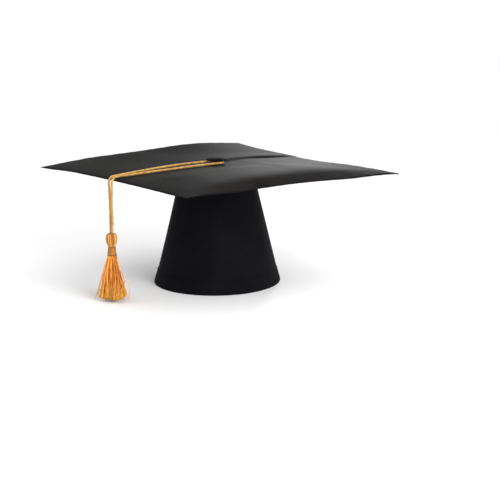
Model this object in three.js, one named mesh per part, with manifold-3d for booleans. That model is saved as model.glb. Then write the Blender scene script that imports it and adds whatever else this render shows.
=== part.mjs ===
// A small graduation cap: a soft square board on a tapered cloth crown, with a button and a gold tassel.
// Units are millimetres, +Z is up, and the origin is the centre of the head opening on the rim plane.
// -Y is the front, where a corner of the board points forward, and +X is to the viewer's right.

import * as THREE from 'three';
import { mergeVertices } from 'three/addons/utils/BufferGeometryUtils.js';
import Module from 'manifold-3d';

const wasm = await Module();
wasm.setup();

// ---------------------------------------------------------------- driving dimensions
const GAP = 0.3;                       // clearance between pieces that touch on the real cap

const board = {
  side: 165,
  centreTop: 76.5,                     // height of the top cover at the button
  coverThickness: 0.5,
  cardThickness: 1.0,
  seamWidth: 1.8,                      // turned-in edges of the covers, round the card
  divisions: 10,                       // facets along each side
  // how far the soft board stands above or below its centre, at its corners and mid-edges
  cornerRise: { front: -5.2, right: -4.0, back: 3.5, left: -1.5 },
  edgeRise: { frontLeft: -2.3, frontRight: -0.4, backLeft: 3.0, backRight: -1.9 },
};

const crown = {
  rimHalfWidth: 41.3,                  // across the head opening, side to side
  rimHalfDepth: 47.3,                  // front to back
  topHalfWidth: 24.0,
  flare: 1.08,                         // 1 is a straight cone; more opens the rim a little
  segments: 48,
  outer: 0.9,                          // cloth thicknesses, from the outside in
  interlining: 0.8,
  lining: 0.6,
  hemProud: 0.3,                       // the hem stands outside the crown's own line
  hemThickness: 0.5,
  hemHeight: 9,
  headBandHeight: 17,
  headBandThickness: 1.0,
};

const button = {
  radius: 6.6,
  underside: 2.1,                      // above the board, so that the cord loop passes under it
  dome: 1.6,
  edge: 0.4,
  postRadius: 1.7,
  threadRadius: 0.7,
  threadHole: 1.05,
};

const cord = {
  radius: 0.7,
  lift: 0.35,                          // gap between the cord and the board
  bendRadius: 3,
  bendStart: 81.8,                     // distance from the button to where the cord turns down
  hangLength: 2.5,                     // of the short straight piece just under the bend
  pairOffset: 8.0,                     // the hanging pair's place along the edge, from its middle
  pairHalfGap: 1.75,
};

const tassel = {
  top: 41,
  headRadius: 3.4,
  holeRadius: 1.95,
  holeDepth: 6.3,
  headBottom: 33.8,
  shoulder: 0.6,                       // the head narrows to the neck over this height
  neckRadius: 1.9,
  neckBottom: 27.6,
  bindingRadius: 2.6,
  fringeRadius: 8.7,
  tip: 0.6,
};

// ---------------------------------------------------------------- materials
const cloth = (color, roughness) => new THREE.MeshStandardMaterial({ color, roughness, metalness: 0 });
const material = {
  boardCloth: () => cloth(0x3b3838, 0.85),
  crownCloth: () => cloth(0x141318, 0.9),
  lining: () => cloth(0x1c1b1f, 0.8),
  interlining: () => cloth(0x2a2a2c, 0.95),
  card: () => cloth(0x8a7b66, 0.9),
  buttonCloth: () => cloth(0x17151a, 0.8),
  metal: () => new THREE.MeshStandardMaterial({ color: 0xb8b8ba, roughness: 0.35, metalness: 0.9 }),
  thread: () => cloth(0x1a181b, 0.8),
  goldCord: () => cloth(0xcb9e58, 0.55),
  goldFringe: () => cloth(0xc8763a, 0.6),
};

const group = new THREE.Group();

function place(name, geometry, piece) {
  const mesh = new THREE.Mesh(geometry, piece);
  mesh.name = name;
  group.add(mesh);
}

// ---------------------------------------------------------------- the board's shape
// A quadratic through three heights: at -1, 0 and 1.
function through(low, middle, high, t) {
  return low * t * (t - 1) / 2 + middle * (1 - t * t) + high * t * (t + 1) / 2;
}

// How far the board stands above its centre height. across runs from the front-left edge to the
// back-right one, and along from the front-right edge to the back-left one, each from -1 to 1.
function boardRise(x, y) {
  const half = board.side / 2;
  const across = THREE.MathUtils.clamp((x + y) * Math.SQRT1_2 / half, -1, 1);
  const along = THREE.MathUtils.clamp((y - x) * Math.SQRT1_2 / half, -1, 1);
  const corner = board.cornerRise;
  const edge = board.edgeRise;
  const frontLeft = through(corner.front, edge.frontLeft, corner.left, along);
  const middle = through(edge.frontRight, 0, edge.backLeft, along);
  const backRight = through(corner.right, edge.backRight, corner.back, along);
  return through(frontLeft, middle, backRight, across);
}

// Pieces near the board follow its curve, and pieces near the rim stay level.
function followBoard(geometry, level = 35, full = 68) {
  const position = geometry.attributes.position;
  for (let i = 0; i < position.count; i += 1) {
    const z = position.getZ(i);
    const share = THREE.MathUtils.smoothstep(z, level, full);
    position.setZ(i, z + share * boardRise(position.getX(i), position.getY(i)));
  }
  return geometry;
}

// ---------------------------------------------------------------- joining and cutting
function toManifold(geometry) {
  const bare = geometry.clone();
  bare.deleteAttribute('normal');
  bare.deleteAttribute('uv');
  const merged = mergeVertices(bare, 1e-4);
  return new wasm.Manifold(new wasm.Mesh({
    numProp: 3,
    vertProperties: new Float32Array(merged.attributes.position.array),
    triVerts: new Uint32Array(merged.index.array),
  }));
}

function toGeometry(manifold) {
  const mesh = manifold.getMesh();
  const geometry = new THREE.BufferGeometry();
  geometry.setAttribute('position', new THREE.BufferAttribute(mesh.vertProperties, 3));
  geometry.setIndex(new THREE.BufferAttribute(mesh.triVerts, 1));
  geometry.computeVertexNormals();
  return geometry;
}

const cut = (body, tool) => toGeometry(toManifold(body).subtract(toManifold(tool)));

// ---------------------------------------------------------------- basic shapes
// A turned solid about +Z. The profile is a list of [radius, height] that closes on itself or on the axis,
// in either direction: it is turned anticlockwise, so that the faces point out.
function turned(profile, segments) {
  const points = profile.map(([radius, height]) => new THREE.Vector2(radius, height));
  if (THREE.ShapeUtils.isClockWise(points)) points.reverse();
  if (points[0].x > 0) points.push(points[0].clone());
  return new THREE.LatheGeometry(points, segments).rotateX(Math.PI / 2);
}

function ring(inner, outer, bottom, top, segments) {
  return turned([[inner, bottom], [outer, bottom], [outer, top], [inner, top]], segments);
}

// A straight round bar along Z, used to cut the thread's hole.
function bar(radius, bottom, top) {
  return turned([[0, bottom], [radius, bottom], [radius, top], [0, top]], 16);
}

// A tube of eight sides along a smooth line through the points.
function tube(points, steps) {
  const sides = 8;
  const corners = Array.from({ length: sides }, (_, i) => {
    const angle = (i + 0.5) * 2 * Math.PI / sides;
    return new THREE.Vector2(cord.radius * Math.cos(angle), cord.radius * Math.sin(angle));
  });
  const extrudePath = new THREE.CatmullRomCurve3(points, false, 'centripetal');
  return new THREE.ExtrudeGeometry(new THREE.Shape(corners), { steps, extrudePath });
}

// ---------------------------------------------------------------- the board
const layers = {
  topCover: board.centreTop - board.coverThickness,
  card: board.centreTop - board.coverThickness - GAP - board.cardThickness,
  underCover: board.centreTop - 2 * board.coverThickness - 2 * GAP - board.cardThickness,
};
const boardUnderside = layers.underCover;

// One flat square layer, turned so that a corner points forward, then bent to the board's curve.
function boardLayer(side, bottom, thickness) {
  const layer = new THREE.BoxGeometry(side, side, thickness, board.divisions, board.divisions, 1);
  layer.translate(0, 0, bottom + thickness / 2);
  layer.rotateZ(Math.PI / 4);
  return followBoard(layer);
}

const threadHole = () => bar(button.threadHole, boardUnderside - 8, board.centreTop + 2);

function addBoard() {
  const cardSide = board.side - 2 * (board.seamWidth + GAP);
  const seamInside = boardLayer(board.side - 2 * board.seamWidth, layers.card - 1, board.cardThickness + 2);
  const topCover = boardLayer(board.side, layers.topCover, board.coverThickness);
  const card = boardLayer(cardSide, layers.card, board.cardThickness);
  const seam = boardLayer(board.side, layers.card, board.cardThickness);
  const underCover = boardLayer(board.side, layers.underCover, board.coverThickness);
  place('board_top_cover', cut(topCover, threadHole()), material.boardCloth());
  place('board_stiffener', cut(card, threadHole()), material.card());
  place('board_edge_seam', cut(seam, seamInside), material.boardCloth());
  place('board_under_cover', cut(underCover, threadHole()), material.crownCloth());
}

// ---------------------------------------------------------------- the crown
const crownTop = boardUnderside - GAP;

function crownHalfWidth(z) {
  const share = Math.max(0, 1 - z / crownTop);
  return crown.topHalfWidth + (crown.rimHalfWidth - crown.topHalfWidth) * share ** crown.flare;
}

// A tapered band between two depths inside the crown's own line, from one height to another.
function crownBand(outside, inside, bottom, top, steps) {
  const outer = [];
  const inner = [];
  for (let i = 0; i <= steps; i += 1) {
    const z = bottom + (top - bottom) * i / steps;
    outer.push([crownHalfWidth(z) - outside, z]);
    inner.unshift([crownHalfWidth(z) - inside, z]);
  }
  return turned([...outer, ...inner], crown.segments);
}

// Crown pieces are turned round, made oval, and then follow the board at the top.
function crownShape(geometry) {
  geometry.scale(1, crown.rimHalfDepth / crown.rimHalfWidth, 1);
  return followBoard(geometry);
}

const depth = {
  outer: crown.hemThickness - crown.hemProud + GAP,
};
depth.interlining = depth.outer + crown.outer + GAP;
depth.lining = depth.interlining + crown.interlining + GAP;
depth.inside = depth.lining + crown.lining;

function hemProfile() {
  const legOutside = -crown.hemProud;
  const legInside = legOutside + crown.hemThickness;
  const turnOutside = depth.inside + GAP;
  const turnInside = turnOutside + crown.hemThickness;
  const top = crown.hemHeight;
  const floor = crown.hemThickness;
  const at = (inset, z) => [crownHalfWidth(z) - inset, z];
  return [
    at(turnInside, 0), at(legOutside, 0), at(legOutside, top / 2), at(legOutside, top), at(legInside, top),
    at(legInside, top / 2), at(legInside, floor), at(turnOutside, floor), at(turnOutside, top / 2),
    at(turnOutside, top), at(turnInside, top), at(turnInside, top / 2),
  ];
}

function addCrown() {
  const bottom = crown.hemThickness + GAP;
  const panelThickness = 0.6;
  const allowanceBottom = crownTop - panelThickness;
  const liningTop = allowanceBottom - GAP;
  const panelBottom = liningTop - panelThickness;
  const outer = crownBand(depth.outer, depth.outer + crown.outer, bottom, crownTop, 4);
  const interliningInside = depth.interlining + crown.interlining;
  const interlining = crownBand(depth.interlining, interliningInside, bottom, liningTop, 3);
  const lining = crownBand(depth.lining, depth.inside, bottom, liningTop, 3);
  const allowanceOuter = crown.topHalfWidth - depth.outer - crown.outer - GAP;
  const allowance = ring(14, allowanceOuter, allowanceBottom, crownTop, crown.segments);
  const panelRadius = crown.topHalfWidth - depth.inside - GAP;
  const panel = ring(button.threadHole, panelRadius, panelBottom, liningTop, crown.segments);
  const hem = turned(hemProfile(), crown.segments);
  const bandTop = crown.hemHeight + GAP + crown.headBandHeight;
  const bandOutside = depth.inside + GAP;
  const bandInside = bandOutside + crown.headBandThickness;
  const headBand = crownBand(bandOutside, bandInside, crown.hemHeight + GAP, bandTop, 1);
  place('crown_outer', crownShape(outer), material.crownCloth());
  place('crown_interlining', crownShape(interlining), material.interlining());
  place('crown_lining', crownShape(lining), material.lining());
  place('crown_top_allowance', crownShape(allowance), material.crownCloth());
  place('crown_top_lining', crownShape(panel), material.lining());
  place('crown_hem', crownShape(hem), material.crownCloth());
  place('head_band', crownShape(headBand), material.lining());
  place('back_seam_tape', seamTape(bandTop + GAP, panelBottom - 1), material.lining());
  addButtonAnchor(panelBottom);
}

// The tape over the back seam: a strip cut out of a band that would line the whole crown.
function seamTape(bottom, top) {
  const width = 8;
  const thickness = 0.6;
  const outside = depth.inside + GAP;
  const whole = crownShape(crownBand(outside, outside + thickness, bottom, top, 4));
  const strip = new THREE.BoxGeometry(width, crown.rimHalfDepth, 2 * board.centreTop);
  strip.translate(0, crown.rimHalfDepth / 2, board.centreTop / 2);
  return toGeometry(toManifold(whole).intersect(toManifold(strip)));
}

// ---------------------------------------------------------------- the button
const post = { bottom: board.centreTop + GAP, holeTop: board.centreTop + button.underside };

function domeArc(radius, base, height, steps) {
  return Array.from({ length: steps + 1 }, (_, i) => {
    const angle = i / steps * Math.PI / 2;
    return [radius * Math.sin(angle), base + height * Math.cos(angle)];
  });
}

function addButton() {
  const segments = 24;
  const underside = board.centreTop + button.underside;
  const base = underside + button.edge;
  const wall = 0.4;
  const turnUnder = 4.9;
  const cover = turned([
    ...domeArc(button.radius, base, button.dome, 6),
    [button.radius - 0.3, underside],
    [turnUnder, underside],
    [turnUnder, base],
    ...domeArc(button.radius - wall, base, button.dome - wall, 6).reverse(),
  ], segments);
  const shellBase = base + GAP;
  const shellRadius = button.radius - wall - GAP;
  const shellHeight = button.dome - wall - 2 * GAP;
  const shell = turned([
    ...domeArc(shellRadius, shellBase, shellHeight, 5),
    ...domeArc(shellRadius - wall, shellBase, shellHeight - GAP, 5).reverse(),
  ], segments);
  const backRadius = turnUnder - GAP;
  const hole = button.threadHole;
  const back = turned([
    [0, base], [backRadius, base], [backRadius, underside], [button.postRadius, underside],
    [button.postRadius, post.bottom], [hole, post.bottom], [hole, post.holeTop], [0, post.holeTop],
  ], segments);
  place('button_cover', cover, material.buttonCloth());
  place('button_shell', shell, material.metal());
  place('button_back', back, material.metal());
}

// The thread goes from the button's post down through the board to a washer and a knot inside.
function addButtonAnchor(ceiling) {
  const washerThickness = 0.8;
  const washerTop = ceiling - GAP;
  const washerBottom = washerTop - washerThickness;
  const knotRadius = 1.6;
  const knotHeight = 1.1;
  const knotTop = washerBottom - GAP;
  const threadBottom = knotTop + GAP;
  const thread = bar(button.threadRadius, threadBottom, post.holeTop - GAP);
  const washer = ring(button.threadHole, 4, washerBottom, washerTop, 20);
  const knot = turned([
    [0, knotTop - 2 * knotHeight],
    [knotRadius * 0.7, knotTop - 1.7 * knotHeight],
    [knotRadius, knotTop - knotHeight],
    [knotRadius * 0.7, knotTop - 0.3 * knotHeight],
    [0, knotTop],
  ], 12);
  place('button_thread', thread, material.thread());
  place('button_washer', washer, material.metal());
  place('button_knot', knot, material.thread());
}

// ---------------------------------------------------------------- the cord
// The cord lies across the front-left edge. out is the distance from the button towards that edge,
// and side is the distance along the edge, positive towards the front corner.
function planPoint(out, side) {
  return [(side - out) * Math.SQRT1_2, -(side + out) * Math.SQRT1_2];
}

function onBoard([out, side]) {
  const [x, y] = planPoint(out, side);
  return new THREE.Vector3(x, y, board.centreTop + boardRise(x, y) + cord.lift + cord.radius);
}

function atHeight(out, side, z) {
  const [x, y] = planPoint(out, side);
  return new THREE.Vector3(x, y, z);
}

const edgeHeight = onBoard([cord.bendStart, cord.pairOffset]).z;
const bendCentreHeight = edgeHeight - cord.bendRadius;
const hangOut = cord.bendStart + cord.bendRadius;
const frontSide = cord.pairOffset + cord.pairHalfGap;
const rearSide = cord.pairOffset - cord.pairHalfGap;

// From the edge, past the front of the button's post, round it and back to the edge.
const runRoute = [
  [cord.bendStart - GAP, frontSide], [76, 9.8], [68, 9.8], [60, 9.6], [52, 9.3], [44, 8.9], [36, 8.3],
  [28, 7.6], [20, 6.9], [12, 6.2], [4, 5.4], [-2.8, 4.5], [-5.3, 0], [-2.8, -4.5], [4, -5.4], [12, -5.6],
  [20, -5.0], [28, -4.0], [36, -2.7], [44, -1.2], [52, 0.5], [60, 2.2], [68, 3.9], [76, 5.4],
  [cord.bendStart - GAP, rearSide],
];

const hangTop = bendCentreHeight - GAP;
const hangBottom = hangTop - cord.hangLength;
const dropTop = hangBottom - GAP;

// Each hanging strand, as [side, height]: the short piece under the bend, and the rest of it down to
// the inside of the tassel's head.
const hangRoute = {
  front: [[frontSide, hangTop], [9.62, hangBottom]],
  rear: [[rearSide, hangTop], [6.4, hangBottom]],
};
const dropRoute = {
  front: [[9.6, dropTop], [9.5, 67], [9.15, 62], [8.9, 57], [9.25, 52.5], [9.65, 48.5],
    [9.25, 45], [8.9, 42], [8.9, 39.2]],
  rear: [[6.42, dropTop], [6.6, 67], [6.9, 62], [7.05, 57], [7.1, 52.5], [7.1, 48.5],
    [7.1, 45], [7.1, 42], [7.1, 39.2]],
};

function bendRoute(side) {
  const points = [];
  for (let degrees = 0; degrees <= 90; degrees += 15) {
    const angle = THREE.MathUtils.degToRad(degrees);
    const out = cord.bendStart + cord.bendRadius * Math.sin(angle);
    points.push(atHeight(out, side, bendCentreHeight + cord.bendRadius * Math.cos(angle)));
  }
  return points;
}

function addCord() {
  place('cord_run', tube(runRoute.map(onBoard), 56), material.goldCord());
  for (const [name, side] of [['front', frontSide], ['rear', rearSide]]) {
    const hanging = (route) => route[name].map(([along, z]) => atHeight(hangOut, along, z));
    place(`cord_bend_${name}`, tube(bendRoute(side), 4), material.goldCord());
    place(`cord_hang_${name}`, tube(hanging(hangRoute), 1), material.goldCord());
    place(`cord_drop_${name}`, tube(hanging(dropRoute), 9), material.goldCord());
  }
}

// ---------------------------------------------------------------- the tassel
function addTassel() {
  const segments = 16;
  const holeBottom = tassel.top - tassel.holeDepth;
  const head = turned([
    [0, tassel.neckBottom],
    [tassel.neckRadius, tassel.neckBottom],
    [tassel.neckRadius, tassel.headBottom - tassel.shoulder],
    [tassel.headRadius * 0.82, tassel.headBottom],
    [tassel.headRadius, 37],
    [tassel.headRadius * 0.9, 39.6],
    [tassel.holeRadius + 0.5, tassel.top],
    [tassel.holeRadius, tassel.top],
    [tassel.holeRadius, holeBottom],
    [0, holeBottom],
  ], segments);
  const knot = turned([[0, 35], [1.2, 35.4], [1.6, 36.6], [1.3, 38], [0, 38.7]], 10);
  const bindingTop = tassel.headBottom - tassel.shoulder - GAP;
  const bindingInside = tassel.neckRadius + GAP;
  const binding = ring(bindingInside, tassel.bindingRadius, tassel.neckBottom, bindingTop, segments);
  const fringe = turned([
    [0, tassel.tip], [tassel.fringeRadius, tassel.tip], [7.6, 8], [5.9, 16], [3.9, 23],
    [tassel.bindingRadius, tassel.neckBottom - GAP], [0, tassel.neckBottom - GAP],
  ], segments);
  const pieces = [
    ['tassel_head', head, material.goldFringe()],
    ['tassel_cord_knot', knot, material.goldCord()],
    ['tassel_neck_binding', binding, material.goldCord()],
    ['tassel_fringe', fringe, material.goldFringe()],
  ];
  const [x, y] = planPoint(hangOut, cord.pairOffset);
  for (const [name, geometry, piece] of pieces) {
    geometry.translate(x, y, 0);
    place(name, geometry, piece);
  }
}

addBoard();
addCrown();
addButton();
addCord();
addTassel();

export default group;
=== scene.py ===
import math

import bpy
import numpy as np
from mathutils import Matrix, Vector


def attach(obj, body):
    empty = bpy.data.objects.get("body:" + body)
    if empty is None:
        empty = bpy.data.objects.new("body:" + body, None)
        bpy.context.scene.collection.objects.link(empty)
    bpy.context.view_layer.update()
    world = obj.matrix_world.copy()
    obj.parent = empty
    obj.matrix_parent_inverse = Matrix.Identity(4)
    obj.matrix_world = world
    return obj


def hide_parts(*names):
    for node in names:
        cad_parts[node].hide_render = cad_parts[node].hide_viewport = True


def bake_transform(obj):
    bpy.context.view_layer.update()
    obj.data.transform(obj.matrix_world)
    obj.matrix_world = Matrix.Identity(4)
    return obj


# A small graduation cap: a soft black board on a tapered cloth crown, a covered button, and a gold
# cord with a tassel. The shapes are worked out in millimetres, and every mesh is written in metres.

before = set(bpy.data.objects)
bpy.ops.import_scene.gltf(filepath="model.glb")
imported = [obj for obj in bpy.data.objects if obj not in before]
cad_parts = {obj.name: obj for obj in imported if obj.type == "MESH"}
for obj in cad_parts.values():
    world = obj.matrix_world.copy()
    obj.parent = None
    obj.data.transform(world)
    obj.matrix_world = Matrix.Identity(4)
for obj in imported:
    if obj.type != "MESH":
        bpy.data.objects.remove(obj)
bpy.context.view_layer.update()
bpy.context.scene.view_settings.view_transform = "Standard"

MM = 0.001
ROOT_HALF = math.sqrt(0.5)

# ---------------------------------------------------------------- sizes shared with the CAD model
BOARD_HALF = 82.5
BOARD_TOP = 76.5
BOARD_THICK = 2.6
CORNER_RISE = {"front": -5.2, "right": -4.0, "back": 3.5, "left": -1.5}
EDGE_RISE = {"front_left": -2.3, "front_right": -0.4, "back_left": 3.0, "back_right": -1.9}
CROWN_RIM = 41.3
CROWN_TOP = 24.0
CROWN_HEIGHT = 73.6
CROWN_FLARE = 1.08
CROWN_OVAL = 47.3 / 41.3
BUTTON_RADIUS = 6.6
CORD_RADIUS = 0.7
CORD_LIFT = 0.35
BEND_START = 81.8
BEND_RADIUS = 3.0
PAIR_OFFSET = 8.0
PAIR_HALF_GAP = 1.75
HANG_OUT = BEND_START + BEND_RADIUS
FRONT_SIDE = PAIR_OFFSET + PAIR_HALF_GAP
REAR_SIDE = PAIR_OFFSET - PAIR_HALF_GAP

# ---------------------------------------------------------------- sizes of the looks alone
CROWN_MEAN_RIM = 1.07 * CROWN_RIM
STITCH_RADIUS = 0.11
RUN_LIFT = 0.6 * CORD_LIFT


# ---------------------------------------------------------------- the board's shape
def through(low, middle, high, t):
    """A quadratic through three heights: at -1, 0 and 1."""
    return low * t * (t - 1) / 2 + middle * (1 - t * t) + high * t * (t + 1) / 2


def board_axes(x, y):
    """Place on the board, -1 to 1 each way: across from its front-left edge, along from its front-right."""
    across = np.clip((x + y) * ROOT_HALF / BOARD_HALF, -1, 1)
    along = np.clip((y - x) * ROOT_HALF / BOARD_HALF, -1, 1)
    return across, along


def board_rise(x, y):
    """How far the board stands above its centre, as in the CAD model."""
    across, along = board_axes(x, y)
    front_left = through(CORNER_RISE["front"], EDGE_RISE["front_left"], CORNER_RISE["left"], along)
    middle = through(EDGE_RISE["front_right"], 0, EDGE_RISE["back_left"], along)
    back_right = through(CORNER_RISE["right"], EDGE_RISE["back_right"], CORNER_RISE["back"], along)
    return through(front_left, middle, back_right, across)


def bump(distance, width):
    return np.exp(-((distance / width) ** 2))


def soft_step(t):
    t = np.clip(t, 0, 1)
    return t * t * (3 - 2 * t)


def step_shape(beside, width, reach):
    """A step in the cloth: up on one side of a line and down on the other, dying out either way."""
    return np.tanh(beside / width) * np.exp(-np.abs(beside) / reach)


def board_waves(x, y):
    """The soft cloth board's own waves, in mm, which the CAD board leaves out."""
    across, along = board_axes(x, y)
    out, side = across * BOARD_HALF, along * BOARD_HALF
    radius = np.hypot(x, y)
    angle = np.arctan2(y, x)

    # a sharp fold from the button to the back-right edge
    beside = radius * np.sin(angle - np.radians(78 - 0.27 * radius))
    behind = soft_step((out + side) / 12)
    share = soft_step((radius - 6) / 10) * (1 - soft_step((radius - 58) / 36)) * behind
    fold = 0.95 * share * step_shape(beside, 1.3, 16)

    # a soft dent from the right of the button towards the front-right edge
    beside = 0.93 * (out - 25) - 0.36 * (side + 12)
    down = -0.36 * (out - 25) - 0.93 * (side + 12)
    share = soft_step((down + 5) / 15) * (1 - soft_step((down - 40) / 25))
    dent = 0.45 * share * step_shape(beside, 2.5, 14)

    # a broad roll inside the front-right edge, and a fall at the edge itself
    inward = side + BOARD_HALF
    roll = 2.3 * (inward / 30) * np.exp(1 - inward / 30) * (1 - soft_step((inward - 40) / 32))
    roll = roll * soft_step((across + 1) / 0.4) * (1 - 0.8 * soft_step((across - 0.2) / 0.8))
    edge_fall = -2.5 * bump(inward, 9) * soft_step((across + 1) / 0.5) * soft_step((1 - across) / 0.6)

    # slow swells, gathers round the button, a lift at the back and a drooping left tip
    swell = 0.4 * np.sin(out / 15 + side / 31) * np.cos(side / 19 - 0.6) * soft_step((out + 30) / 60)
    gather = 0.2 * np.exp(-radius / 12) * np.sin(9 * angle + 0.5) * soft_step((radius - 4) / 6)
    lift = 1.8 * soft_step((y - 35) / 60) * soft_step((30 - x) / 60)
    droop = -1.1 * soft_step((-x - 85) / 30)
    return fold + dent + roll + edge_fall + swell * soft_step(radius / 25) + gather + lift + droop


def board_top(x, y):
    return BOARD_TOP + board_rise(x, y) + board_waves(x, y)


def crown_half_width(z):
    share = np.clip(1 - z / CROWN_HEIGHT, 0, 1)
    return CROWN_TOP + (CROWN_RIM - CROWN_TOP) * share ** CROWN_FLARE


# ---------------------------------------------------------------- mesh helpers
def make_mesh(name, vertices, faces, material, uvs=None):
    """A smooth-shaded mesh object from millimetre vertices. uvs has one (u, v) in metres for each vertex."""
    mesh = bpy.data.meshes.new(name)
    mesh.from_pydata((np.asarray(vertices, float) * MM).tolist(), [], [tuple(f) for f in faces])
    mesh.validate()
    mesh.polygons.foreach_set("use_smooth", [True] * len(mesh.polygons))
    if uvs is not None:
        loops = np.zeros(len(mesh.loops), np.int32)
        mesh.loops.foreach_get("vertex_index", loops)
        layer = mesh.uv_layers.new(name="cloth")
        layer.data.foreach_set("uv", np.asarray(uvs, np.float32)[loops].ravel())
    mesh.materials.append(material)
    mesh.update()
    obj = bpy.data.objects.new(name, mesh)
    bpy.context.scene.collection.objects.link(obj)
    return obj


def grid_faces(rows, columns, wrap_rows=False, wrap_columns=False):
    """Quads over rows x columns vertices, joined round either way."""
    faces = []
    for i in range(rows if wrap_rows else rows - 1):
        below = (i + 1) % rows
        for j in range(columns if wrap_columns else columns - 1):
            beside = (j + 1) % columns
            here, under = i * columns, below * columns
            faces.append((here + j, here + beside, under + beside, under + j))
    return faces


def smooth_path(points, step):
    """Points a step apart along a centripetal Catmull-Rom line through the given ones."""
    points = np.asarray(points, float)
    ends = [2 * points[0] - points[1], *points, 2 * points[-1] - points[-2]]
    dense = []
    for p0, p1, p2, p3 in zip(ends, ends[1:], ends[2:], ends[3:]):
        gaps = np.linalg.norm(np.diff([p0, p1, p2, p3], axis=0), axis=1)
        knots = np.concatenate([[0], np.cumsum(np.sqrt(np.maximum(gaps, 1e-6)))])
        for t in np.linspace(knots[1], knots[2], 24, endpoint=False):
            a1 = ((knots[1] - t) * p0 + (t - knots[0]) * p1) / (knots[1] - knots[0])
            a2 = ((knots[2] - t) * p1 + (t - knots[1]) * p2) / (knots[2] - knots[1])
            a3 = ((knots[3] - t) * p2 + (t - knots[2]) * p3) / (knots[3] - knots[2])
            b1 = ((knots[2] - t) * a1 + (t - knots[0]) * a2) / (knots[2] - knots[0])
            b2 = ((knots[3] - t) * a2 + (t - knots[1]) * a3) / (knots[3] - knots[1])
            dense.append(((knots[2] - t) * b1 + (t - knots[1]) * b2) / (knots[2] - knots[1]))
    dense.append(points[-1])
    dense = np.array(dense)
    along = np.concatenate([[0], np.cumsum(np.linalg.norm(np.diff(dense, axis=0), axis=1))])
    places = np.linspace(0, along[-1], max(3, int(round(along[-1] / step)) + 1))
    return np.stack([np.interp(places, along, dense[:, k]) for k in range(3)], -1)


def path_frames(path):
    """Tangents, and two directions across the path that turn as little as they can along it."""
    tangents = np.gradient(path, axis=0)
    tangents /= np.linalg.norm(tangents, axis=1)[:, None]
    first = np.cross(tangents[0], [0, 0, 1.0])
    if np.linalg.norm(first) < 0.1:
        first = np.cross(tangents[0], [1.0, 0, 0])
    sides = [first / np.linalg.norm(first)]
    for t in tangents[1:]:
        side = sides[-1] - t * np.dot(sides[-1], t)
        sides.append(side / np.linalg.norm(side))
    sides = np.array(sides)
    return tangents, sides, np.cross(tangents, sides)


def tube(path, radius, sides):
    """Vertices and faces of a closed tube. radius is one number, or one for each point of the path."""
    _, across, over = path_frames(path)
    angles = np.arange(sides) * 2 * math.pi / sides
    radii = np.broadcast_to(radius, len(path))[:, None, None]
    circle = np.cos(angles)[None, :, None] * across[:, None] + np.sin(angles)[None, :, None] * over[:, None]
    vertices = (path[:, None] + radii * circle).reshape(-1, 3)
    faces = grid_faces(len(path), sides, wrap_columns=True)
    last = (len(path) - 1) * sides
    faces.append(tuple(range(sides)))
    faces.append(tuple(last + k for k in reversed(range(sides))))
    return vertices, [tuple(reversed(f)) for f in faces]


def tubes(name, paths, radii, sides, material):
    """One mesh of many closed tubes. radii is one number, or one for each tube."""
    vertices, faces, start = [], [], 0
    for path, radius in zip(paths, np.broadcast_to(radii, len(paths))):
        new_vertices, new_faces = tube(np.asarray(path, float), radius, sides)
        vertices.append(new_vertices)
        faces += [tuple(start + k for k in f) for f in new_faces]
        start += len(new_vertices)
    return make_mesh(name, np.concatenate(vertices), faces, material)


def twisted(path, plies, spread, pitch):
    """The centre lines of plies laid round a path."""
    _, across, over = path_frames(path)
    along = np.concatenate([[0], np.cumsum(np.linalg.norm(np.diff(path, axis=0), axis=1))])
    lines = []
    for k in range(plies):
        angle = (2 * math.pi * (along / pitch + k / plies))[:, None]
        lines.append(path + spread * (np.cos(angle) * across + np.sin(angle) * over))
    return lines


# ---------------------------------------------------------------- materials
class Nodes:
    """A short way to build a node material."""

    def __init__(self, name):
        self.material = bpy.data.materials.new(name)
        self.material.use_nodes = True
        self.tree = self.material.node_tree
        self.shader = self.tree.nodes["Principled BSDF"]

    def add(self, kind, settings=(), **inputs):
        node = self.tree.nodes.new(kind)
        for key, value in dict(settings).items():
            setattr(node, key, value)
        for key, value in inputs.items():
            self.put(node, key, value)
        return node

    def put(self, node, key, value):
        """Links or sets a socket. A key such as _0 is its number, and any other is its name."""
        socket = node.inputs[int(key[1:])] if key[0] == "_" else node.inputs[key.replace("_", " ")]
        if isinstance(value, bpy.types.NodeSocket):
            self.tree.links.new(value, socket)
        else:
            socket.default_value = value

    def maths(self, operation, a, b=0.0):
        return self.add("ShaderNodeMath", {"operation": operation}, _0=a, _1=b).outputs[0]

    def ramp(self, factor, stops):
        node = self.add("ShaderNodeValToRGB", Fac=factor)
        elements = node.color_ramp.elements
        while len(elements) < len(stops):
            elements.new(0.5)
        for element, (place, color) in zip(elements, stops):
            element.position = place
            element.color = (*color, 1)
        return node.outputs["Color"]

    def mix(self, blend, factor, first, second):
        """Mixes two colours. The sockets go by number, because their names repeat for each data type."""
        settings = {"data_type": "RGBA", "blend_type": blend}
        return self.add("ShaderNodeMix", settings, _0=factor, _6=first, _7=second).outputs[2]

    def noise(self, vector, scale, detail=3.0):
        return self.add("ShaderNodeTexNoise", Vector=vector, Scale=scale, Detail=detail).outputs["Fac"]

    def bump(self, height, strength, distance):
        bump = self.add("ShaderNodeBump", Height=height, Strength=strength, Distance=distance)
        return bump.outputs["Normal"]


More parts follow.
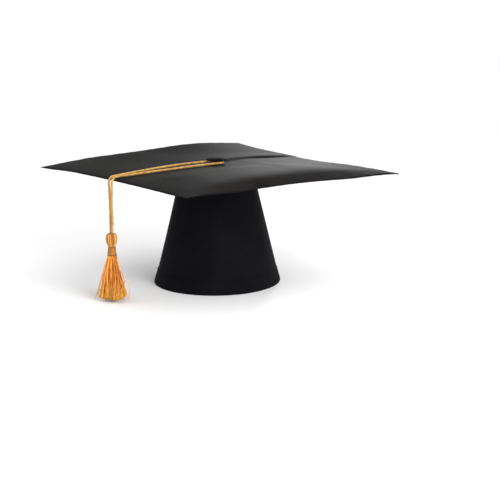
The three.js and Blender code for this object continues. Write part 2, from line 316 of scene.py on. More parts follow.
def cloth_material(name, dark, light, thread, roughness, sheen, relief, gloss=0.1, tint=(0.6, 0.58, 0.56)):
    """Woven cloth: crossing threads, slubs, patchy colour and lint. thread is the weave pitch in mm."""
    n = Nodes(name)
    place = n.add("ShaderNodeUVMap", {"uv_map": "cloth"}).outputs["UV"]
    solid = n.add("ShaderNodeTexCoord").outputs["Object"]
    split = n.add("ShaderNodeSeparateXYZ", Vector=place)
    turns = 2 * math.pi / (thread * MM)
    uneven = n.maths("MULTIPLY", n.noise(place, 900.0, 2.0), 2.5)
    warp = n.maths("SINE", n.maths("ADD", n.maths("MULTIPLY", split.outputs["X"], turns), uneven))
    weft = n.maths("SINE", n.maths("ADD", n.maths("MULTIPLY", split.outputs["Y"], turns), uneven))
    ribs = n.maths("ADD", n.maths("MULTIPLY", warp, 0.5), 0.5)
    crossing = n.maths("MULTIPLY", warp, weft)
    slubs = n.noise(solid, 1400.0, 4.0)
    patches = n.noise(solid, 38.0, 4.0)
    lint = n.noise(solid, 5200.0, 1.0)
    uneven_ribs = n.maths("ADD", n.maths("MULTIPLY", ribs, 0.2), slubs)
    height = n.maths("ADD", n.maths("MULTIPLY", crossing, 0.5), uneven_ribs)
    base = n.ramp(patches, [(0.3, dark), (0.7, light)])
    threads = n.ramp(crossing, [(0.0, (0.72, 0.72, 0.72)), (1.0, (1.12, 1.12, 1.12))])
    woven = n.mix("MULTIPLY", 0.8, base, threads)
    fluff = n.ramp(lint, [(0.70, (0, 0, 0)), (0.78, (1, 1, 1))])
    pale = (*[min(1, 3.2 * c) for c in light], 1)
    n.put(n.shader, "Base_Color", n.mix("MIX", n.maths("MULTIPLY", fluff, 0.35), woven, pale))
    n.put(n.shader, "Roughness", n.maths("ADD", n.maths("MULTIPLY", slubs, 0.2), roughness - 0.1))
    n.put(n.shader, "Normal", n.bump(height, 0.6, relief * MM))
    n.put(n.shader, "Sheen_Weight", sheen)
    n.put(n.shader, "Sheen_Roughness", 0.45)
    n.put(n.shader, "Sheen_Tint", (*tint, 1))
    n.put(n.shader, "Specular_IOR_Level", gloss)
    return n.material


def thread_material(name, dark, middle, light, roughness, sheen, by_thread=0.6, gloss=0.35, tips=None):
    """Silky rayon thread: fine fibres along it, and by_thread says how much each thread has its own shade.
    tips is a colour that hanging threads turn to near their lower ends."""
    n = Nodes(name)
    solid = n.add("ShaderNodeTexCoord").outputs["Object"]
    fibres = n.noise(solid, 2600.0, 3.0)
    patches = n.noise(solid, 420.0, 2.0)
    shade = n.maths("ADD", n.maths("MULTIPLY", patches, 1 - by_thread), n.maths("MULTIPLY", fibres, 0.3))
    if by_thread:
        geometry = n.add("ShaderNodeNewGeometry")
        shade = n.maths("ADD", n.maths("MULTIPLY", geometry.outputs["Random Per Island"], by_thread), shade)
    color = n.ramp(shade, [(0.25, dark), (0.65, middle), (1.0, light)])
    if tips:
        height = n.add("ShaderNodeSeparateXYZ", Vector=solid).outputs["Z"]
        lowness = n.add("ShaderNodeMapRange", Value=height, From_Min=14 * MM, From_Max=3 * MM, To_Max=0.65)
        color = n.mix("MIX", lowness.outputs[0], color, (*tips, 1))
    n.put(n.shader, "Base_Color", color)
    n.put(n.shader, "Roughness", n.maths("ADD", n.maths("MULTIPLY", fibres, 0.25), roughness - 0.12))
    n.put(n.shader, "Normal", n.bump(fibres, 0.35, 0.00008))
    n.put(n.shader, "Sheen_Weight", sheen)
    n.put(n.shader, "Specular_IOR_Level", gloss)
    return n.material


def plain_material(name, dark, light, scale, roughness, metallic=0.0, relief=0.00005):
    """Card, metal and other hard pieces: mottled colour, uneven gloss and fine grain."""
    n = Nodes(name)
    solid = n.add("ShaderNodeTexCoord").outputs["Object"]
    grain = n.noise(solid, scale, 5.0)
    fine = n.noise(solid, scale * 9, 3.0)
    n.put(n.shader, "Base_Color", n.ramp(grain, [(0.3, dark), (0.7, light)]))
    n.put(n.shader, "Roughness", n.maths("ADD", n.maths("MULTIPLY", fine, 0.3), roughness - 0.15))
    n.put(n.shader, "Normal", n.bump(fine, 0.4, relief))
    n.put(n.shader, "Metallic", metallic)
    return n.material


board_cloth = cloth_material(
    "board_cloth", dark=(0.0052, 0.0048, 0.0046), light=(0.0135, 0.0125, 0.012), thread=0.42,
    roughness=0.7, sheen=0.013, relief=0.05, gloss=0.03)
crown_cloth = cloth_material(
    "crown_cloth", dark=(0.0028, 0.0026, 0.0038), light=(0.0052, 0.0048, 0.0068), thread=0.42,
    roughness=0.8, sheen=0.012, relief=0.05, gloss=0.04, tint=(0.5, 0.5, 0.62))
button_cloth = cloth_material(
    "button_cloth", dark=(0.0025, 0.0023, 0.003), light=(0.005, 0.0046, 0.0055), thread=0.36,
    roughness=0.75, sheen=0.012, relief=0.04, gloss=0.04)
lining_cloth = cloth_material(
    "lining", dark=(0.006, 0.006, 0.007), light=(0.011, 0.011, 0.013), thread=0.22,
    roughness=0.5, sheen=0.1, relief=0.02, gloss=0.3)
band_cloth = cloth_material(
    "head_band", dark=(0.006, 0.006, 0.007), light=(0.012, 0.012, 0.014), thread=1.0,
    roughness=0.55, sheen=0.1, relief=0.10, gloss=0.25)
felt = cloth_material(
    "interlining", dark=(0.02, 0.02, 0.021), light=(0.04, 0.04, 0.042), thread=0.8,
    roughness=0.9, sheen=0.2, relief=0.04)
gold_cord = thread_material(
    "gold_cord", dark=(0.26, 0.13, 0.025), middle=(0.46, 0.25, 0.055), light=(0.72, 0.46, 0.17),
    roughness=0.42, sheen=0.04, by_thread=0)
# The head's and neck's copy of the fringe thread. It is yellower, as the real head is. Its darker colour is
# painted shade, which makes up for the head taking more light than the self-shadowed fringe.
gold_head_painted_shade = thread_material(
    "gold_head_painted_shade", dark=(0.17, 0.062, 0.008), middle=(0.47, 0.18, 0.022), light=(0.80, 0.44, 0.10),
    roughness=0.42, sheen=0.04)
gold_fringe = thread_material(
    "gold_fringe", dark=(0.33, 0.08, 0.007), middle=(0.76, 0.235, 0.018), light=(1.0, 0.52, 0.08),
    roughness=0.38, sheen=0.04, tips=(0.66, 0.36, 0.045))
black_thread = thread_material(
    "black_thread",
    dark=(0.0015, 0.0015, 0.002), middle=(0.003, 0.0028, 0.0036), light=(0.006, 0.0056, 0.007),
    roughness=0.7, sheen=0.0, gloss=0.05)
brown_thread = thread_material(
    "brown_thread", dark=(0.16, 0.052, 0.012), middle=(0.28, 0.10, 0.024), light=(0.42, 0.18, 0.04),
    roughness=0.5, sheen=0.1)
card = plain_material("stiff_card", (0.20, 0.15, 0.10), (0.32, 0.25, 0.17), 160.0, 0.85)
metal = plain_material("button_metal", (0.42, 0.42, 0.43), (0.62, 0.62, 0.62), 420.0, 0.38, metallic=1.0)
# The button's metal back is coloured near black. This is painted shade for the dark underside of the button,
# and it also hides the metal's reflection of the floor.
painted_shade_metal = plain_material("painted_shade_metal", (0.008, 0.008, 0.009), (0.014, 0.014, 0.015), 420.0, 0.55)


def finish_piece(obj, body, slot, *replaced):
    """Rides a piece on its body, and hides the CAD nodes that it stands for. Its slot is not used."""
    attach(obj, body)
    if replaced:
        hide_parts(*replaced)


# ---------------------------------------------------------------- camera
AIM = np.array([21.7, -1.3, 20.4])
CAMERA_AZIMUTH = 6.25
CAMERA_ELEVATION = 10.83
CAMERA_DISTANCE = 691.0
CAMERA_LENS = 76.4


def make_camera():
    a, e = math.radians(CAMERA_AZIMUTH), math.radians(CAMERA_ELEVATION)
    back = np.array([math.sin(a) * math.cos(e), -math.cos(a) * math.cos(e), math.sin(e)])
    data = bpy.data.cameras.new("camera")
    data.lens = CAMERA_LENS
    data.clip_end = 20
    camera = bpy.data.objects.new("camera", data)
    camera.location = Vector((AIM + CAMERA_DISTANCE * back) * MM)
    camera.rotation_mode = "QUATERNION"
    camera.rotation_quaternion = Vector(-back).to_track_quat("-Z", "Y")
    bpy.context.scene.collection.objects.link(camera)
    bpy.context.scene.camera = camera


make_camera()


# ---------------------------------------------------------------- the cord
# Here out is the distance from the button towards the front-left edge, and side is the distance along
# that edge, positive towards the front corner.
def plan_point(out, side):
    return (side - out) * ROOT_HALF, -(side + out) * ROOT_HALF


def on_board(out, side):
    x, y = plan_point(out, side)
    return x, y, float(board_top(x, y)) + RUN_LIFT + CORD_RADIUS


def at_height(out, side, z):
    return (*plan_point(out, side), z)


EDGE_RISE_AT_CORD = float(board_rise(*plan_point(BEND_START, PAIR_OFFSET)))
EDGE_HEIGHT = BOARD_TOP + EDGE_RISE_AT_CORD + CORD_LIFT + CORD_RADIUS
RUN_ROUTE = [
    (76.5, 9.8), (68, 9.8), (60, 9.6), (52, 9.3), (44, 8.9), (36, 8.3), (28, 7.6), (20, 6.9), (12, 6.2),
    (4, 5.4), (-1.4, 4.4), (-3.8, 0.4), (-1.8, -4.2), (4, -5.4), (12, -5.6),
    (20, -5.0), (28, -4.0), (36, -2.7), (44, -1.2), (52, 0.5), (60, 2.2), (68, 3.9), (76.5, 5.5),
]
DROP_ROUTE = {
    "front": [
        (9.6, 69), (9.5, 67), (9.15, 62), (8.9, 57), (9.25, 52.5),
        (9.65, 48.5), (9.25, 45), (8.9, 42), (8.9, 39.2),
    ],
    "rear": [
        (6.42, 69), (6.6, 67), (6.9, 62), (7.05, 57), (7.1, 52.5),
        (7.1, 48.5), (7.1, 45), (7.1, 42), (7.1, 39.2),
    ],
}
EDGE_TURN = [(80.2, 0.0), (82.0, -0.2), (83.5, -0.95), (84.5, -2.3), (84.85, -4.0)]
SPLIT_HEIGHT = 70.0
PLY_RADIUS = 0.40
PLY_SPREAD = 0.34
PLY_PITCH = 3.4


def hanging(name):
    """One strand from the board's edge down into the tassel's head."""
    turn_side = FRONT_SIDE if name == "front" else REAR_SIDE
    turn = [at_height(out, turn_side, EDGE_HEIGHT + fall) for out, fall in EDGE_TURN]
    return turn + [at_height(HANG_OUT, side, z) for side, z in DROP_ROUTE[name]]


def make_cords():
    """The whole cord is laid as one line, so that its plies run on, and is then split for the swings."""
    route = [*reversed(hanging("front")), *[on_board(*p) for p in RUN_ROUTE], *hanging("rear")]
    path = smooth_path(route, 0.4)
    lines = twisted(path, 3, PLY_SPREAD, PLY_PITCH)
    above = np.nonzero(path[:, 2] > SPLIT_HEIGHT)[0]
    parts = {"front": (0, above[0]), "run": (above[0], above[-1]), "rear": (above[-1], len(path) - 1)}
    cords = {}
    for name, (first, last) in parts.items():
        pieces = [line[first:last + 1] for line in lines]
        obj = tubes(f"cord_strands_{name}", pieces, PLY_RADIUS, 7, gold_cord)
        cords[name] = (obj, path[first:last + 1] * MM)
    run = cords["run"][0]
    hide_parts("cord_run", "cord_bend_front", "cord_bend_rear")
    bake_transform(run)
    for name in ("front", "rear"):
        strand = cords[name][0]
        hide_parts(f"cord_hang_{name}", f"cord_drop_{name}")
        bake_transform(strand)
    return cords


cords = make_cords()


# ---------------------------------------------------------------- the board
def edge_distance(out, along):
    return np.maximum(BOARD_HALF - np.maximum(np.abs(out), np.abs(along)), 0)


def half_thickness(out, along):
    """Half of the board's thickness, which thins to the seam at the edge and more so at the corners."""
    inward = np.clip(edge_distance(out, along) / 9, 0, 1) ** 0.38
    to_corner = np.hypot(BOARD_HALF - np.abs(out), BOARD_HALF - np.abs(along))
    corner = 0.6 + 0.4 * soft_step(to_corner / 20)
    return BOARD_THICK / 2 * (0.1 + 0.9 * inward) * corner


def board_middle(out, along):
    """A point on the board's middle surface."""
    x = (out - along) * ROOT_HALF
    y = (out + along) * ROOT_HALF
    return x, y, board_top(x, y) - BOARD_THICK / 2


def edge_pucker(out, along):
    inward = edge_distance(out, along)
    travel = np.where(np.abs(out) > np.abs(along), along, out)
    ripple = np.sin(travel / 1.6 + 2.1 * np.sin(travel / 13)) + 0.6 * np.sin(travel / 3.7 + 1)
    return 0.10 * np.exp(-inward / 4) * ripple * np.clip(inward / 1.5, 0, 1)


def board_layer(name, half, upper, lower, material):
    """A closed square layer. upper and lower give its two faces' heights from the board's middle surface.
    close holds the grid's distances in from the edge, where the layer curves most."""
    close = np.array([0, 0.05, 0.12, 0.3, 0.55, 0.9, 1.4, 2.2, 3.6, 5.4])
    middle = np.linspace(-half + 7.5, half - 7.5, 150)
    places = np.concatenate([-half + close, middle, half - close[::-1]])
    out, along = np.meshgrid(places, places, indexing="ij")
    x, y, z = board_middle(out, along)
    count = len(places)
    sheets = [np.stack([x, y, z + face(out, along)], -1).reshape(-1, 3) for face in (upper, lower)]
    below = grid_faces(count, count)
    faces = [tuple(reversed(f)) for f in below] + [tuple(count * count + k for k in f) for f in below]
    rim = [i * count for i in range(count)]
    rim += [(count - 1) * count + j for j in range(1, count)]
    rim += [i * count + count - 1 for i in range(count - 2, -1, -1)]
    rim += list(range(count - 2, 0, -1))
    for a, b in zip(rim, rim[1:] + rim[:1]):
        faces.append((a, b, count * count + b, count * count + a))
    uvs = np.tile(np.stack([out, along], -1).reshape(-1, 2) * MM, (2, 1))
    return make_mesh(name, np.concatenate(sheets), faces, material, uvs)


def cover_face(sign, depth):
    """The height of a layer's upper (1) or lower (-1) face, depth below the board's own surface."""
    def face(out, along):
        height = np.maximum(half_thickness(out, along) - depth, 0.02)
        return sign * (height + edge_pucker(out, along) * (depth == 0))

    return face


def make_board():
    top = board_layer("board_top_cloth", BOARD_HALF, cover_face(1, 0), cover_face(1, 0.4), board_cloth)
    under = board_layer("board_under_cloth", BOARD_HALF, cover_face(-1, 0.4), cover_face(-1, 0), crown_cloth)
    stiffener = board_layer("board_card", 80.4, cover_face(1, 0.5), cover_face(-1, 0.5), card)
    finish_piece(top, "cap", "board_cloth", "board_top_cover")
    finish_piece(under, "cap", "crown_cloth", "board_under_cover")
    finish_piece(stiffener, "cap", "stiff_card", "board_stiffener")
    seam = tubes("board_edge_stitches", edge_stitches(66), STITCH_RADIUS, 5, black_thread)
    finish_piece(seam, "cap", "black_thread", "board_edge_seam")


def edge_stitches(count):
    """Small slanted stitches that close the covers round the edge, count of them to a side."""
    half = BOARD_HALF - 0.12
    corners = [(-half, -half), (half, -half), (half, half), (-half, half)]
    stitches = []
    for (a, b), (c, d) in zip(corners, corners[1:] + corners[:1]):
        for t in (np.arange(count) + 0.5) / count:
            points = []
            for ahead, rise in ((-0.35, 0.32), (0, 0), (0.35, -0.32)):
                share = t + ahead / (2 * half)
                x, y, z = board_middle(a + (c - a) * share, b + (d - b) * share)
                points.append((x, y, float(z) + rise))
            stitches.append(np.array(points))
    return stitches


make_board()


# ---------------------------------------------------------------- the crown
def fold_shape(angle, z):
    """The crown cloth's soft vertical folds, in mm outward. angle is from +X, anticlockwise."""
    share = z / CROWN_HEIGHT
    crest = math.radians(-63) + math.radians(21) * share
    away = np.abs((angle - crest + math.pi) % (2 * math.pi) - math.pi)
    ridge = 0.55 * np.exp(-away / 0.22)
    soft = 0.22 * np.sin(5 * angle + 1.3 * share + 0.4) + 0.14 * np.sin(11 * angle - 2.2 * share)
    return (ridge + soft) * np.sin(np.clip(share * 1.15, 0, 1) * math.pi * 0.5 + 0.25)


def crown_point(angle, inset, z):
    """A point of a crown layer. Near the top it follows the board's underside."""
    radius = crown_half_width(z) - inset + fold_shape(angle, z)
    x = radius * np.cos(angle)
    y = radius * np.sin(angle) * CROWN_OVAL
    share = soft_step((z - 35) / 33)
    lift = share * (board_top(x, y) - BOARD_TOP)
    return np.stack([x, y, z + lift + 0 * angle], -1)


def crown_band(name, profile, material, segments=256, extra=None):
    """A closed band round the crown. The profile is a closed loop of (inset, height). extra moves points."""
    angles = np.arange(segments) * 2 * math.pi / segments
    rings, lengths = [], [0.0]
    for k, (inset, z) in enumerate(profile):
        ring = crown_point(angles, inset, z)
        if extra is not None:
            ring = ring + extra(angles, inset, z)
        rings.append(ring)
        if k:
            lengths.append(lengths[-1] + float(np.linalg.norm(rings[-1][0] - rings[-2][0])))
    vertices = np.concatenate(rings)
    faces = grid_faces(len(profile), segments, wrap_rows=True, wrap_columns=True)
    around = angles * CROWN_MEAN_RIM
    uvs = np.array([(a * MM, length * MM) for length in lengths for a in around])
    return make_mesh(name, vertices, faces, material, uvs)


def wall_profile(outside, inside, bottom, top, steps):
    heights = np.linspace(bottom, top, steps)
    outer = [(outside, z) for z in heights]
    inner = [(inside, z) for z in heights[::-1]]
    return outer + inner


def stitch_ring(name, inset, z, count, length, radius, slant=0.0, inward=False):
    """Running stitches round the crown, on a layer's outer or inner face."""
    face = 1 if inward else -1
    paths = []
    for k in range(count):
        centre = 2 * math.pi * k / count
        half = length / 2 / CROWN_MEAN_RIM
        ends = [crown_point(np.array([centre + s * half]), inset + face * lift, z + s * slant)[0]
                for s, lift in ((-1, -0.15), (-0.6, 0.06), (0, 0.1), (0.6, 0.06), (1, -0.15))]
        paths.append(np.array(ends))
    return tubes(name, paths, radius, 5, black_thread)


def pleats(angles, inset, z):
    """Small upright pleats on the lining's inner face, deeper towards the top where it is gathered."""
    depth = 0.18 * float(soft_step(z / CROWN_HEIGHT)) * np.sin(23 * angles + 2 * np.sin(3 * angles))
    if inset < 3:
        depth = depth * 0
    return np.stack([-depth * np.cos(angles), -depth * np.sin(angles), 0 * angles], -1)


def make_crown():
    outer = crown_band("crown_cloth_wall", wall_profile(0.5, 1.4, 0.8, CROWN_HEIGHT + 0.25, 48), crown_cloth)
    finish_piece(outer, "cap", "crown_cloth", "crown_outer")
    stiff = crown_band("crown_stiff_layer", wall_profile(1.7, 2.5, 0.8, 72.7, 12), felt, segments=96)
    finish_piece(stiff, "cap", "interlining", "crown_interlining")
    profile = wall_profile(2.8, 3.4, 0.8, 72.7, 40)
    lining = crown_band("crown_lining_cloth", profile, lining_cloth, extra=pleats)
    finish_piece(lining, "cap", "lining", "crown_lining")


def make_hem():
    """The cloth turned under the rim and up inside, with the stitches that hold it."""
    outside = [(0.10, 0.10), (0.0, 0.45), (-0.03, 1.2), (0.02, 2.6), (0.09, 4.2), (0.17, 6.0), (0.25, 7.4),
               (0.30, 8.3), (0.35, 8.8), (0.42, 8.98)]
    against_crown = [(0.47, 8.9), (0.48, 8.3), (0.48, 6.0), (0.48, 3.0), (0.52, 0.7), (0.9, 0.5)]
    against_lining = [(3.2, 0.5), (3.6, 0.7), (3.7, 3.0), (3.7, 6.0), (3.7, 8.6), (3.85, 8.9)]
    inside = [(4.05, 8.9), (4.2, 8.6), (4.2, 6.0), (4.2, 3.0), (4.15, 0.4), (4.0, 0.1)]
    underneath = [(3.7, 0.0), (2.0, 0.0), (0.4, 0.0), (0.2, 0.02)]
    loop = outside + against_crown + against_lining + inside + underneath

    def puckers(angles, inset, z):
        depth = 0.08 * math.exp(-(((z - 8.0) / 1.4) ** 2)) * np.sin(96 * angles)
        if inset > 2:
            depth = depth * 0
        return np.stack([depth * np.cos(angles), depth * np.sin(angles), 0 * angles], -1)

    hem = crown_band("crown_hem_fold", loop, crown_cloth, segments=384, extra=puckers)
    finish_piece(hem, "cap", "crown_cloth", "crown_hem")
    stitches = stitch_ring("hem_stitches", 0.26, 7.9, 96, 2.0, 0.12)
    finish_piece(stitches, "cap", "black_thread")


make_crown()
make_hem()


def make_head_band():
    """The woven band inside the head opening, dented along its two rows of stitches."""
    behind = [(3.75, 9.5), (3.75, 14), (3.75, 18), (3.75, 22), (3.75, 26.1)]
    top = [(3.9, 26.3), (4.5, 26.3), (4.7, 26.1)]
    face = [(4.62, 25.2), (4.7, 24.0), (4.72, 20), (4.72, 15), (4.7, 11.6), (4.62, 10.4)]
    bottom = [(4.7, 9.5), (4.5, 9.3), (3.9, 9.3)]
    loop = behind + top + face + bottom
    band = crown_band("head_band_tape", loop, band_cloth)
    finish_piece(band, "cap", "lining", "head_band")
    for name, z in (("top", 25.2), ("bottom", 10.4)):
        ring_name = f"head_band_stitches_{name}"
        stitches = stitch_ring(ring_name, 4.72, z, 110, 1.5, STITCH_RADIUS, slant=0.3, inward=True)
        finish_piece(stitches, "cap", "black_thread")


def make_seam_tape():
    """A tape over the crown's back seam, inside, with a row of stitches near each of its edges."""
    heights = np.linspace(26.8, 71.0, 40)
    stitch_row = 3.4
    across = np.array([-4, -3.9, -stitch_row, -2, -0.6, 0, 0.6, 2, stitch_row, 3.9, 4])
    ridges = np.array([-2, 0, -1, 1, 1, -3, 1, 1, -1, 0, -2])
    raised = 0.12 * np.cos(across * math.pi / 8) ** 2 + 0.05 * ridges
    sheets = []
    for side in (0, 1):
        for z in heights:
            base = crown_half_width(z) * CROWN_OVAL
            angle = math.pi / 2 - across / base
            inset = 3.75 + side * (0.5 + raised)
            sheets.append(crown_point(angle, inset, z))
    vertices = np.concatenate(sheets)
    rows, columns = len(heights), len(across)
    face = grid_faces(rows, columns)
    faces = face + [tuple(rows * columns + k for k in reversed(f)) for f in face]
    rim = list(range(columns))
    rim += [i * columns + columns - 1 for i in range(1, rows)]
    rim += [(rows - 1) * columns + j for j in range(columns - 2, -1, -1)]
    rim += [i * columns for i in range(rows - 2, 0, -1)]
    for a, b in zip(rim, rim[1:] + rim[:1]):
        faces.append((b, a, rows * columns + a, rows * columns + b))
    uvs = np.array([(a * MM, z * MM) for _ in (0, 1) for z in heights for a in across])
    tape = make_mesh("back_seam_tape_cloth", vertices, faces, band_cloth, uvs)
    finish_piece(tape, "cap", "lining", "back_seam_tape")
    stitches = []
    for x in (-stitch_row, stitch_row):
        for z in np.arange(28, 70, 2.0):
            base = crown_half_width(z) * CROWN_OVAL
            ends = [crown_point(np.array([math.pi / 2 - x / base]), 4.28 + lift, z + dz)[0]
                    for dz, lift in ((-0.7, -0.2), (-0.4, 0.06), (0.4, 0.06), (0.7, -0.2))]
            stitches.append(np.array(ends))
    thread = tubes("back_seam_stitches", stitches, STITCH_RADIUS, 5, black_thread)
    finish_piece(thread, "cap", "black_thread")


def make_top_lining():
    """The lining's flat top, gathered towards the thread that holds the button."""
    segments = 200
    angles = np.arange(segments) * 2 * math.pi / segments
    upper = [(1.4, 72.5), (1.6, 72.65), (2.5, 72.7), (5, 72.7), (9, 72.7), (14, 72.7), (18, 72.7),
             (20.1, 72.68)]
    lower = [(20.3, 72.4), (20.1, 72.15), (18, 72.12), (14, 72.12), (9, 72.12), (5, 72.12), (2.5, 72.15),
             (1.6, 72.2)]
    vertices, uvs = [], []
    for radius, z in upper + lower:
        gather = 0.16 * np.sin(31 * angles + 3 * np.sin(2 * angles)) * math.exp(-((radius - 9) / 9) ** 2)
        x, y = radius * np.cos(angles), radius * np.sin(angles) * (1 + 0.145 * soft_step(radius / 20))
        lift = board_top(x, y) - BOARD_TOP
        vertices.append(np.stack([x, y, z + lift + gather * (z < 72.3)], -1))
        uvs.append(np.stack([x, y], -1) * MM)
    faces = grid_faces(len(upper + lower), segments, wrap_rows=True, wrap_columns=True)
    vertices, uvs = np.concatenate(vertices), np.concatenate(uvs)
    panel = make_mesh("crown_top_lining_cloth", vertices, faces, lining_cloth, uvs)
    finish_piece(panel, "cap", "lining", "crown_top_lining")


def make_knot():
    """The knotted thread under the washer."""
    t = np.linspace(0, 2 * math.pi, 120)
    radius = 0.75 + 0.38 * np.cos(3 * t)
    knot = np.stack([radius * np.cos(2 * t), radius * np.sin(2 * t), 69.7 + 0.42 * np.sin(3 * t)], -1)
    tail = smooth_path([(0.5, 0.3, 69.6), (1.0, 0.9, 68.9), (0.9, 1.3, 68.0), (1.2, 1.5, 66.6)], 0.3)
    stem = np.array([(0, 0, 69.6), (0, 0, 70.4), (0, 0, 71.0)])
    thread = tubes("button_knot_thread", [knot, tail, stem], [0.3, 0.22, 0.55], 8, black_thread)
    finish_piece(thread, "cap", "black_thread", "button_knot")


def dress_hidden_nodes():
    """Gives the CAD nodes that stay in view, or inside, their materials."""
    # The button's back takes the near-black painted-shade metal.
    kept = {"crown_top_allowance": crown_cloth, "button_washer": metal, "button_thread": black_thread,
            "button_shell": metal, "button_back": painted_shade_metal, "tassel_cord_knot": gold_cord}
    for node, material in kept.items():
        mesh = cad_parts[node].data
        mesh.materials.clear()
        mesh.materials.append(material)


make_head_band()
make_seam_tape()
make_top_lining()
make_knot()
dress_hidden_nodes()


# ---------------------------------------------------------------- the button
def make_button():
    """The cloth cover: a dome gathered under its rim in small pleats, and the cloth's smooth inner face."""
    base = BOARD_TOP + 2.5
    segments = 168
    angles = np.arange(segments) * 2 * math.pi / segments
    steps = 14
    rings = []  # radius, height and share of the pleats
    for k in range(1, steps + 1):
        tilt = k / steps * math.pi / 2
        rings.append((BUTTON_RADIUS * math.sin(tilt), base + 1.6 * math.cos(tilt), soft_step((k - 6) / 8)))
    rings += [(6.5, base - 0.2, 1.0), (6.2, base - 0.38, 1.0)]
    rings += [(5.6, base - 0.42, 0.9), (4.9, base - 0.40, 0.7),
              (4.8, base - 0.2, 0.4), (4.9, base, 0.3), (5.9, base, 0.2)]
    for k in range(steps - 1, 0, -1):
        tilt = k / steps * math.pi / 2
        rings.append(((BUTTON_RADIUS - 0.4) * math.sin(tilt), base + 1.2 * math.cos(tilt), 0.0))
    vertices = [(0, 0, base + 1.6)]
    for radius, z, pleats in rings:
        fold = 0.13 * float(pleats) * np.sin(22 * angles + 0.8 * np.sin(5 * angles))
        sag = 0.05 * np.sin(3 * angles + radius)
        vertices += [((radius + f) * math.cos(a), (radius + f) * math.sin(a), z + s)
                     for a, f, s in zip(angles, fold, sag * (radius > 1))]
    vertices.append((0, 0, base + 1.2))
    faces = [(0, 1 + k, 1 + (k + 1) % segments) for k in range(segments)]
    faces += [tuple(1 + i for i in f) for f in grid_faces(len(rings), segments, wrap_columns=True)]
    faces = [tuple(reversed(f)) if len(f) == 4 else f for f in faces]
    last = 1 + (len(rings) - 1) * segments
    end = len(vertices) - 1
    faces += [(end, last + (k + 1) % segments, last + k) for k in range(segments)]
    uvs = [(v[0] * MM, v[1] * MM) for v in vertices]
    button = make_mesh("button_cloth_cover", vertices, faces, button_cloth, uvs)
    finish_piece(button, "cap", "button_cloth", "button_cover")


make_button()


# ---------------------------------------------------------------- the tassel
TASSEL_X, TASSEL_Y = plan_point(HANG_OUT, PAIR_OFFSET)
FRINGE_TOP = 28.4
GOLDEN_ANGLE = 2.399963
rng = np.random.default_rng(7)


def around_tassel(angle, radius, z):
    x, y = TASSEL_X + radius * np.cos(angle), TASSEL_Y + radius * np.sin(angle)
    return np.stack([x, y, z + 0 * radius], -1)


def make_head():
    """The head is a bundle of threads doubled over the cord's knot, over a smooth core."""
    heights = np.array([40.4, 40.9, 40.7, 39.9, 38.6, 37.0, 35.5, 34.3, 33.5, 32.0, 30.0, 28.2])
    radii = np.array([2.0, 2.3, 2.75, 3.15, 3.38, 3.35, 3.05, 2.55, 2.1, 2.0, 2.2, 2.45])
    paths = []
    for k in range(44):
        start = 2 * math.pi * k / 44 + rng.normal(0, 0.03)
        lean = rng.normal(0.12, 0.08)
        angle = start + lean * np.linspace(0, 1, len(heights))
        swell = 1 + rng.normal(0, 0.02)
        paths.append(smooth_path(around_tassel(angle, radii * swell - 0.25, heights), 0.5))
    head = tubes("tassel_head_threads", paths, 0.28, 6, gold_head_painted_shade)
    outside = [(1.95, 40.3), (2.3, 40.3), (2.75, 39.4), (2.95, 37.5), (2.8, 35.8), (2.2, 34.2)]
    neck = [(1.8, 33.4), (1.8, 28.0)]
    hollow = [(0.3, 27.8), (0.3, 34.6), (1.95, 34.8), (1.95, 37.5)]
    core = turned("tassel_core", outside + neck + hollow, 32, gold_head_painted_shade)
    finish_piece(head, "tassel", "gold_fringe", "tassel_head")
    finish_piece(core, "tassel", "gold_fringe")
    return head, core


def turned(name, profile, segments, material):
    """A closed ring turned about the tassel's axis. The profile is a closed loop of (radius, height)."""
    angles = np.arange(segments) * 2 * math.pi / segments
    vertices = np.concatenate([around_tassel(angles, np.full(segments, r), z) for r, z in profile])
    faces = grid_faces(len(profile), segments, wrap_rows=True, wrap_columns=True)
    return make_mesh(name, vertices, faces, material)


def make_binding():
    """Thread wound round the neck, with a dark tying thread at its top and bottom and a loose dark end."""
    def winding(low, high, turns, extra):
        t = np.linspace(0, 1, turns * 28)
        z = low + (high - low) * t
        radius = np.interp(z, [27.8, 30, 33.2], [2.62, 2.35, 2.08]) + extra
        return around_tassel(2 * math.pi * turns * t + 1.0, radius, z)

    gold = tubes("tassel_winding", [winding(28.4, 32.6, 12, 0.0)], 0.2, 7, gold_head_painted_shade)
    finish_piece(gold, "tassel", "gold_fringe", "tassel_neck_binding")
    tail_angles = math.radians(-25) + np.array([0, 0.04, 0.10, 0.06, 0.14])
    tail_radii = np.array([2.7, 3.0, 3.25, 3.15, 3.3])
    tail = around_tassel(tail_angles, tail_radii, np.array([28.3, 28.9, 28.5, 27.4, 26.6]))
    rings = [winding(32.75, 33.25, 2, 0.02), winding(27.75, 28.3, 2, 0.05), smooth_path(tail, 0.25)]
    dark = tubes("tassel_tying_thread", rings, [0.15, 0.15, 0.17], 7, brown_thread)
    finish_piece(dark, "tassel", "gold_cord")
    return gold, dark


def fringe_thread(angle, depth, reach, tip, sway, bow):
    """One thread from the neck to its tip. depth runs from 0 at the middle of the bundle to 1 outside."""
    steps = np.linspace(0, 1, 9)
    start = 0.2 + 2.05 * depth
    radius = start + (reach - start) * steps ** 1.15 + bow * np.sin(steps * math.pi)
    turn = angle + sway[0] * np.sin(steps * math.pi * sway[1])
    height = FRINGE_TOP + (tip - FRINGE_TOP) * steps
    return smooth_path(around_tassel(turn, np.maximum(radius, 0.1), height), 1.6)


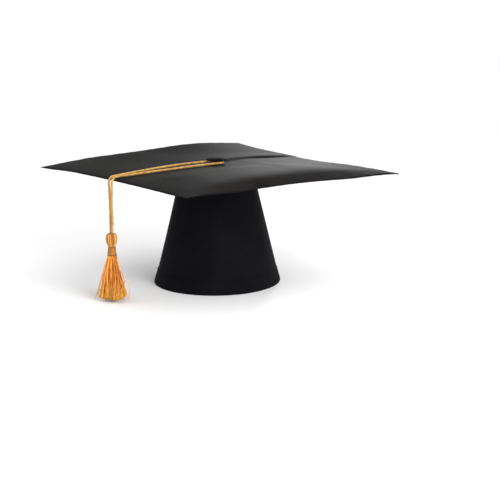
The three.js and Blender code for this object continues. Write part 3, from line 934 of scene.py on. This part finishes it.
def make_fringe():
    """Loose threads in locks, flaring from the neck to ragged ends, with a few strays."""
    paths, radii = [], []
    locks = 34
    for lock in range(locks):
        lock_angle = lock * GOLDEN_ANGLE
        lock_depth = math.sqrt((lock + 0.5) / locks)
        lock_reach = lock_depth * rng.normal(8.3, 0.5)
        lock_tip = 0.9 + abs(rng.normal(0, 0.8)) + 0.8 * lock_depth ** 3
        lock_sway = (rng.normal(0, 0.14), rng.uniform(0.8, 2.0))
        for _ in range(11):
            angle = lock_angle + rng.normal(0, 0.12 + 0.10 / (0.3 + lock_depth))
            depth = float(np.clip(lock_depth + rng.normal(0, 0.12), 0.02, 1))
            reach = abs(lock_reach + rng.normal(0, 0.45))
            sway = (lock_sway[0] + rng.normal(0, 0.03), lock_sway[1])
            tip = lock_tip + abs(rng.normal(0, 0.5))
            paths.append(fringe_thread(angle, depth, reach, tip, sway, rng.normal(0.25, 0.25)))
            radii.append(rng.uniform(0.15, 0.21))
    strays = 22
    for k in range(strays):
        angle = 2 * math.pi * k / strays + rng.normal(0, 0.2)
        sway = (rng.normal(0, 0.3), rng.uniform(1.2, 2.6))
        reach, tip = rng.uniform(9.0, 10.8), rng.uniform(0.9, 4.5)
        paths.append(fringe_thread(angle, 1.0, reach, tip, sway, rng.normal(0.5, 0.9)))
        radii.append(0.14)
    fringe = tubes("tassel_fringe_threads", paths, radii, 5, gold_fringe)
    finish_piece(fringe, "tassel", "gold_fringe", "tassel_fringe")
    return fringe


tassel_pieces = [*make_head(), *make_binding(), make_fringe()]


def declare_cords():
    """The hanging ones run from just under the edge into the tassel."""
    for name, (obj, path) in cords.items():
        if name == "front":
            path = path[::-1]


declare_cords()


# ---------------------------------------------------------------- floor and light
def make_stage():
    mesh = bpy.data.meshes.new("floor")
    size = 40.0
    corners = [(-size, -size, 0), (size, -size, 0), (size, size, 0), (-size, size, 0)]
    mesh.from_pydata(corners, [], [(0, 1, 2, 3)])
    floor = bpy.data.objects.new("floor", mesh)
    bpy.context.scene.collection.objects.link(floor)
    n = Nodes("floor")
    n.put(n.shader, "Base_Color", (0.97, 0.97, 0.97, 1))
    n.put(n.shader, "Roughness", 0.9)
    mesh.materials.append(n.material)


def area_light(name, place, target, size, power):
    data = bpy.data.lights.new(name, "AREA")
    data.size = size
    data.energy = power
    aim_light(name, data, place, target)


def spot_light(name, place, target, cone, power):
    data = bpy.data.lights.new(name, "SPOT")
    data.spot_size = cone
    data.spot_blend = 1.0
    data.shadow_soft_size = 0.06
    data.energy = power
    aim_light(name, data, place, target)


def aim_light(name, data, place, target):
    light = bpy.data.objects.new(name, data)
    light.location = place
    direction = Vector(target) - Vector(place)
    light.rotation_mode = "QUATERNION"
    light.rotation_quaternion = direction.to_track_quat("-Z", "Y")
    bpy.context.scene.collection.objects.link(light)


def make_light():
    world = bpy.data.worlds.new("studio")
    world.use_nodes = True
    background = world.node_tree.nodes["Background"]
    background.inputs["Color"].default_value = (1, 1, 1, 1)
    background.inputs["Strength"].default_value = 1.03
    bpy.context.scene.world = world
    spot_light("key", (0.02, 0.55, 0.25), (0.072, 0.028, 0.074), math.radians(20), 8.2)
    area_light("fill", (0.42, -0.60, 0.30), (-0.04, -0.05, 0.03), 0.4, 5)


make_stage()
make_light()
